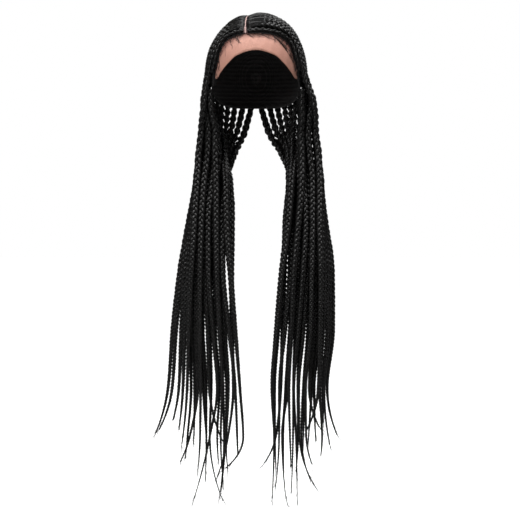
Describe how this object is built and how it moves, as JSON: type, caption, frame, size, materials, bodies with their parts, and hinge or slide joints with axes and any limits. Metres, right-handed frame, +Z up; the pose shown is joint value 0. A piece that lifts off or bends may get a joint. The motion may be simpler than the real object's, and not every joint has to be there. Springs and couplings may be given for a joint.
{
  "type": "long lace-front braid wig",
  "caption": "Long lace-front wig: a domed cap with a parting and cornrows, and long slim plaits worn forward over both shoulders.",
  "frame": {"origin": "top of the head inside the cap, where the crown of the head touches it", "axes": "+Z up, the face opening looks towards -Y, +X to the right of someone who looks at the face"},
  "size_m": [0.3022, 0.2202, 0.808],
  "materials": {
    "braided_hair": "black synthetic hair in plaits, dull sheen",
    "cap_mesh": "black stretch mesh of the cap",
    "lace_net": "fine skin-toned lace net, half see-through",
    "parting_base": "skin-toned base that shows along the parting"
  },
  "bodies": {
    "root": {"wig_cap": "cap_mesh", "lace_front": "lace_net", "part_strip": "parting_base", "cornrows_left": "braided_hair", "cornrows_right": "braided_hair", "cornrows_back": "braided_hair", "hairline_braid_left": "braided_hair", "hairline_braid_right": "braided_hair", "braid_left_01": "braided_hair", "braid_left_02": "braided_hair", "braid_left_03": "braided_hair", "braid_left_04": "braided_hair", "braid_left_05": "braided_hair", "braid_left_06": "braided_hair", "braid_left_07": "braided_hair", "braid_left_08": "braided_hair", "braid_left_09": "braided_hair", "braid_left_10": "braided_hair", "braid_left_11": "braided_hair", "braid_left_12": "braided_hair", "braid_left_13": "braided_hair", "braid_left_14": "braided_hair", "braid_left_15": "braided_hair", "braid_left_16": "braided_hair", "braid_left_17": "braided_hair", "braid_left_18": "braided_hair", "braid_left_19": "braided_hair", "braid_left_20": "braided_hair", "braid_left_21": "braided_hair", "braid_left_22": "braided_hair", "braid_right_01": "braided_hair", "braid_right_02": "braided_hair", "braid_right_03": "braided_hair", "braid_right_04": "braided_hair", "braid_right_05": "braided_hair", "braid_right_06": "braided_hair", "braid_right_07": "braided_hair", "braid_right_08": "braided_hair", "braid_right_09": "braided_hair", "braid_right_10": "braided_hair", "braid_right_11": "braided_hair", "braid_right_12": "braided_hair", "braid_right_13": "braided_hair", "braid_right_14": "braided_hair", "braid_right_15": "braided_hair", "braid_right_16": "braided_hair", "braid_right_17": "braided_hair", "braid_right_18": "braided_hair", "braid_right_19": "braided_hair", "braid_right_20": "braided_hair", "braid_right_21": "braided_hair", "braid_right_22": "braided_hair"}
  },
  "joints": []
}
